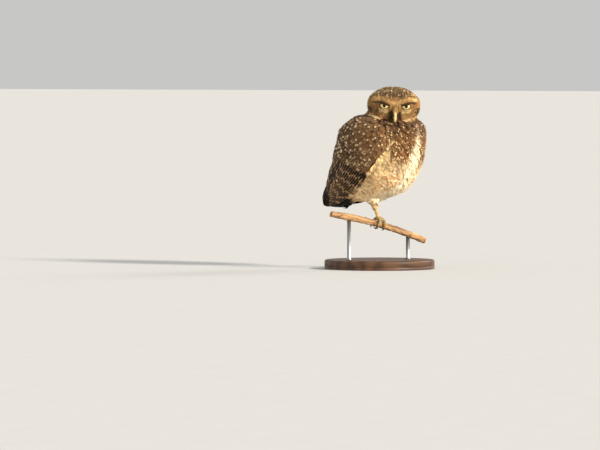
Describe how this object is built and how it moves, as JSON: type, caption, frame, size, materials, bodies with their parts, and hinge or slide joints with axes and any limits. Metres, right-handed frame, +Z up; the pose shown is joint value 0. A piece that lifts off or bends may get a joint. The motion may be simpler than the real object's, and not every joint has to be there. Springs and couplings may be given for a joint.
{
  "type": "burrowing owl model",
  "caption": "Life-size still model of a burrowing owl on one leg on a cut length of branch, held by rods on a flat round display base.",
  "frame": {"origin": "middle of the stand's underside, straight below the standing foot", "axes": "+Z up, the body faces -Y and its left is +X, the head is turned to the bird's right"},
  "size_m": [0.1432, 0.1607, 0.2372],
  "materials": {
    "plumage": "soft mottled brown and buff feathers",
    "eyes": "wet, pale yellow with a black pupil",
    "bill": "pale yellowish horn, satin",
    "claws": "dark horn, satin",
    "branch": "dry reddish-brown bark",
    "base": "dark oiled wood",
    "rods": "brushed"
  },
  "bodies": {
    "root": {"head": "plumage", "neck": "plumage", "trunk": "plumage", "tail": "plumage", "wing_right": "plumage", "wing_left": "plumage", "thigh_right": "plumage", "thigh_left": "plumage", "shank_right": "plumage", "shank_left": "plumage", "foot_right": "plumage", "foot_left": "plumage", "eye_right": "eyes", "eye_left": "eyes", "bill_upper": "bill", "bill_lower": "bill", "claw_right_hallux": "claws", "claw_right_inner": "claws", "claw_right_middle": "claws", "claw_right_outer": "claws", "claw_left_hallux": "claws", "claw_left_inner": "claws", "claw_left_middle": "claws", "claw_left_outer": "claws", "perch": "branch", "stand_base": "base", "stand_rod_high": "rods", "stand_rod_low": "rods"}
  },
  "joints": []
}
